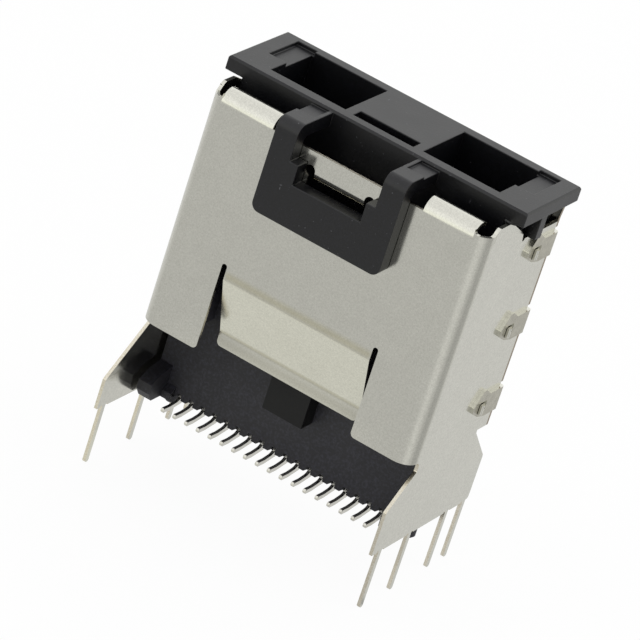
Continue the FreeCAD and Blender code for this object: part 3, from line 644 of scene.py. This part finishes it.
@dataclass
class RearSheet(DressedSolid):
    """The rear shell, whose locking tabs have rougher, coined heads in a darker tone of painted shade, with a painted
    shadow line along their rims.
    """

    tab_from_mm: float = 8.9
    tab_rear_mm: float = 3.3
    rim_facing: tuple[float, float] = (0.2, 0.95)
    head_facing: float = 0.5

    def finish_of(self, place: Vector, normal: Vector, through: bool) -> int:
        """Gives the tabs' heads the third finish, whose darker tone is painted shade, and their rims the second, the
        cut edges' dark finish, which along the rims is a painted shadow line.
        """
        if abs(place.x) > self.tab_from_mm and place.y < self.tab_rear_mm:
            rim = self.rim_facing[0] < abs(normal.x) < self.rim_facing[1]
            return 1 if rim else (2 if abs(normal.x) > self.head_facing else 0)
        return 0 if through else 1


@dataclass
class FoldedShell:
    """The two folded sheets: front shell with side walls, flaps, tongue and tails, and rear shell with its tabs."""

    strip: NickelPlatedStrip = NickelPlatedStrip(marks_and_shade=(
        # The root of the tongue and its knee, as tool marks, and painted shade across its lip.
        BendMarkAndShade(height_mm=10.5, half_height_mm=0.42, half_length_mm=4.9, tint="#f4f1e3"),
        BendMarkAndShade(height_mm=6.68, half_height_mm=0.20, half_length_mm=4.8, tint="#e3e1da"),
        BendMarkAndShade(height_mm=6.15, half_height_mm=0.60, half_length_mm=5.0, tint="#eae9e6"),
    ))
    edge: ShearedEdge = ShearedEdge()
    # The rear sheet's dark bare cut edges; along the tabs' head rims this finish is a painted shadow line.
    rear_edge_and_rim_shadow: ShearedEdge = ShearedEdge(name="sheared_edge_oxidised_painted_rim_shadow", shear="#a3937b", tear="#6f6352")
    # The tabs' heads: rougher plating, with a darker tone that is painted shade.
    coined_and_shaded: NickelPlatedStrip = NickelPlatedStrip(name="nickel_plated_strip_coined_painted_shade", bright="#bdbaac",
                                                  dull="#a8a597", cloud_mm=0.5, roughness=(0.26, 0.34))
    sheet_mm: float = 0.20
    front_edge_mm: float = 0.03
    rear_edge_mm: float = 0.05

    def build(self, nodes: dict[str, bpy.types.Object]) -> list[bpy.types.Object]:
        """Dresses both sheets with plated faces and bare cut edges."""
        strip = self.strip.material()
        return [
            FrontSheet("front_shell", "front_shell_sheet", Slot.SHELL, self.front_edge_mm,
                       [strip, self.edge.material()], sheet_mm=self.sheet_mm).build(nodes),
            RearSheet("rear_shell", "rear_shell_sheet", Slot.SHELL, self.rear_edge_mm,
                      [strip, self.rear_edge_and_rim_shadow.material(), self.coined_and_shaded.material()],
                      sheet_mm=self.sheet_mm).build(nodes),
        ]


@dataclass
class InsulatorMoulding(DressedSolid):
    """The insulator, with low notches between its teeth and a pad for the tongue to rest on, in a darker, less pebbled
    finish.
    """

    notch_mm: float = 0.95
    notch_drop_mm: float = 0.21
    pad_front_mm: float = 1.65
    pad_half_mm: float = 1.35
    pad_z_mm: tuple[float, float] = (3.2, 6.0)

    def reshape(self, piece: bpy.types.Object) -> None:
        """Lowers the ceilings of the notches, so that the teeth hide the contacts' stems."""
        pick_vertices(piece, lambda p: abs(p.z - self.notch_mm) < NEAR_MM / 2)
        bpy.ops.transform.translate(value=(0, 0, -self.notch_drop_mm))
        bpy.ops.object.mode_set(mode="OBJECT")

    def finish_of(self, place: Vector, normal: Vector, through: bool) -> int:
        """Gives the pad on the front its darker, less pebbled finish."""
        low, high = self.pad_z_mm
        pad = place.y < -self.pad_front_mm and abs(place.x) < self.pad_half_mm and low < place.z < high
        return 1 if pad else 0


@dataclass
class Mouldings:
    """The two mouldings: the insulator behind the contacts and the dust cap in the shell's mouth."""

    housing: MouldedPlastic = MouldedPlastic("glass_filled_nylon_blue_black", "#17161c", "#30303a", 0.15, 0.012,
                                             (0.50, 0.62))
    # The pad under the tongue's lip: darker and less pebbled than the rest of the housing.
    pad: MouldedPlastic = MouldedPlastic("glass_filled_nylon_darker_pad", "#0b0b0b", "#101011", 0.15, 0.003,
                                         (0.55, 0.65), ior=1.36)
    cap: MouldedPlastic = MouldedPlastic("moulded_abs_black", "#040406", "#0f0f15", 0.11, 0.008, (0.37, 0.41),
                                         scuff="#626266", scuff_share=0.6)
    housing_edge_mm: float = 0.03
    cap_edge_mm: float = 0.06

    def build(self, nodes: dict[str, bpy.types.Object]) -> list[bpy.types.Object]:
        """Dresses both mouldings with the small radii that a mould leaves."""
        return [
            InsulatorMoulding("housing", "housing_moulding", Slot.HOUSING, self.housing_edge_mm,
                              [self.housing.material(), self.pad.material()]).build(nodes),
            DressedSolid("dust_cap", "dust_cap_moulding", Slot.DUST_CAP, self.cap_edge_mm,
                         [self.cap.material()], segments=3).build(nodes),
        ]


@dataclass
class Blade(DressedSolid):
    """One contact, whose foot is shorter at the tip and leaves the stem in a wide bend."""

    stem_mm: float = 1.28
    corner_z_mm: float = 0.385
    bend_depth_mm: tuple[float, float] = (-0.005, 0.31)
    bend_height_mm: tuple[float, float] = (-0.03, 0.32)
    bend_growth: float = 2.2
    tip_from_mm: float = 3.2
    tip_shift_mm: tuple[float, float] = (0.16, 0.03)

    def reshape(self, piece: bpy.types.Object) -> None:
        """Widens the bend between foot and stem and draws the tip in."""
        side = -1.0 if min(v.co.y for v in piece.data.vertices) < -self.tip_from_mm else 1.0
        depth, height = self.bend_depth_mm, self.bend_height_mm
        pick_vertices(piece, lambda p: depth[0] < side * p.y - self.stem_mm < depth[1]
                      and height[0] < p.z - self.corner_z_mm < height[1])
        bpy.ops.transform.resize(value=(1.0, self.bend_growth, self.bend_growth),
                                 center_override=(piece.data.vertices[0].co.x, side * self.stem_mm,
                                                  self.corner_z_mm))
        bpy.ops.object.mode_set(mode="OBJECT")
        pick_vertices(piece, lambda p: side * p.y > self.tip_from_mm)
        bpy.ops.transform.translate(value=(0, -side * self.tip_shift_mm[0], self.tip_shift_mm[1]))
        bpy.ops.object.mode_set(mode="OBJECT")


@dataclass
class ContactRows:
    """The two rows of stamped blades."""

    plating: NickelPlatedStrip = NickelPlatedStrip(name="tin_plated_blade", bright="#dcdad2", dull="#cfcdc4",
                                                   cloud_mm=0.5, grain_mm=0.05, roughness=(0.14, 0.22))
    edge_mm: float = 0.02

    def build(self, nodes: dict[str, bpy.types.Object]) -> list[bpy.types.Object]:
        """Dresses each blade, plated all round."""
        finishes = [self.plating.material()]
        blades = sorted(n for n in nodes if "contact" in n)
        return [Blade(node, node + "_blade", Slot.CONTACTS, self.edge_mm, finishes, segments=1).build(nodes)
                for node in blades]


@dataclass(frozen=True)
class SoftLamp:
    """A rectangular soft lamp that lights the part, while the metal mirrors only the floor and the room."""

    name: str
    place_mm: tuple[float, float, float]
    size_mm: tuple[float, float]
    radiance: float

    def build(self, target: Vector) -> bpy.types.Object:
        """Places the lamp and turns it to the target."""
        lamp = bpy.data.lights.new(self.name, "AREA")
        lamp.shape = "RECTANGLE"
        lamp.size, lamp.size_y = (s * MM for s in self.size_mm)
        lamp.energy = self.radiance * math.pi * lamp.size * lamp.size_y
        thing = bpy.data.objects.new(self.name, lamp)
        thing.visible_glossy = False
        bpy.context.scene.collection.objects.link(thing)
        place = Vector(self.place_mm) * MM
        aim = (target - place).to_track_quat("-Z", "Y").to_matrix().to_4x4()
        thing.matrix_world = Matrix.Translation(place) @ aim
        return thing


@dataclass
class Studio:
    """Floor, lamps, world and camera."""

    floor_z_mm: float = -3.2
    floor_size_mm: float = 6000.0
    room: str = "#f2f4f8"
    room_strength: float = 0.55
    sky: tuple[tuple[float, tuple[float, float, float]], ...] = (
        (0.0, (0.945, 0.955, 0.89)), (0.40, (0.90, 0.90, 0.90)), (0.85, (0.77, 0.77, 0.775)),
    )
    sky_strength: float = 1.45
    lens_mm: float = 280.106
    sensor_mm: float = 36.0
    clip_m: tuple[float, float] = (0.01, 20.0)
    camera_mm: tuple[float, float, float] = (96.24077, -224.48347, 126.69649)
    right: tuple[float, float, float] = (0.81666239, 0.5027928, 0.28330538)
    up: tuple[float, float, float] = (-0.45319514, 0.25477804, 0.85422615)
    back: tuple[float, float, float] = (0.35731876, -0.82600699, 0.4359309)
    target_mm: tuple[float, float, float] = (0.0, 0.0, 10.0)
    lamps: Sequence[SoftLamp] = (
        SoftLamp("lamp_over", (-60.0, 120.0, 420.0), (760.0, 760.0), 1.15),
        SoftLamp("lamp_left", (-380.0, -260.0, 260.0), (360.0, 360.0), 1.3),
        SoftLamp("lamp_right", (420.0, 160.0, 240.0), (380.0, 380.0), 1.4),
    )

    def build_floor(self) -> None:
        """Lays the paper floor under the solder tails' tips."""
        bpy.ops.object.select_all(action="DESELECT")
        bpy.ops.mesh.primitive_plane_add(size=self.floor_size_mm * MM, location=(0, 0, self.floor_z_mm * MM))
        floor = bpy.context.active_object
        floor.name = "paper_floor"
        floor.data.transform(floor.matrix_world)
        floor.matrix_world = Matrix.Identity(4)
        floor.data.materials.append(PaleFloor().material())

    def build_world(self) -> None:
        """Makes the room's even light, a white backdrop for the camera and a pale sky for the metal to mirror."""
        world = bpy.data.worlds.new("studio_room")
        bpy.context.scene.world = world
        world.use_nodes = True
        tree = world.node_tree
        tree.nodes.clear()
        room = add_node(tree, "Background", {"Color": linear(self.room), "Strength": self.room_strength})
        place = add_node(tree, "TexCoord")
        axes = add_node(tree, "SeparateXYZ", links={0: place.outputs["Generated"]})
        sky = ramp(tree, axes.outputs["Z"], [(height, (*colour, 1.0)) for height, colour in self.sky])
        mirrored = add_node(tree, "LightPath").outputs["Is Glossy Ray"]
        seen = add_node(tree, "MixRGB", {1: linear(WHITE)}, {0: mirrored, 2: sky})
        glow = remap(tree, mirrored, (0.0, 1.0), (1.0, self.sky_strength))
        white = add_node(tree, "Background", links={"Color": seen.outputs[0], "Strength": glow})
        mixed = add_node(tree, "MixShader", links={0: white_share(tree), 1: room.outputs[0], 2: white.outputs[0]})
        add_node(tree, "OutputWorld", links={"Surface": mixed.outputs[0]})

    def build_camera(self) -> None:
        """Sets up the camera at the photograph's place, turn and lens."""
        data = bpy.data.cameras.new("photo_camera")
        data.lens = self.lens_mm
        data.sensor_width = self.sensor_mm
        data.clip_start, data.clip_end = self.clip_m
        camera = bpy.data.objects.new("photo_camera", data)
        bpy.context.scene.collection.objects.link(camera)
        turn = Matrix((self.right, self.up, self.back)).transposed().to_4x4()
        camera.matrix_world = Matrix.Translation(Vector(self.camera_mm) * MM) @ turn
        bpy.context.scene.camera = camera

    def build(self) -> None:
        """Builds the whole studio."""
        self.build_floor()
        self.build_world()
        for lamp in self.lamps:
            lamp.build(Vector(self.target_mm) * MM)
        self.build_camera()
        bpy.context.scene.view_settings.view_transform = "Standard"


def main() -> None:
    """Builds the studio and every piece in order."""
    logging.basicConfig(level=logging.INFO, format="%(message)s")
    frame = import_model()
    Studio().build()
    for assembly in (FoldedShell(), Mouldings(), ContactRows()):
        pieces = assembly.build(frame["nodes"])
        LOG.info("%s: %d pieces", type(assembly).__name__, len(pieces))


if __name__ == "__main__":
    main()
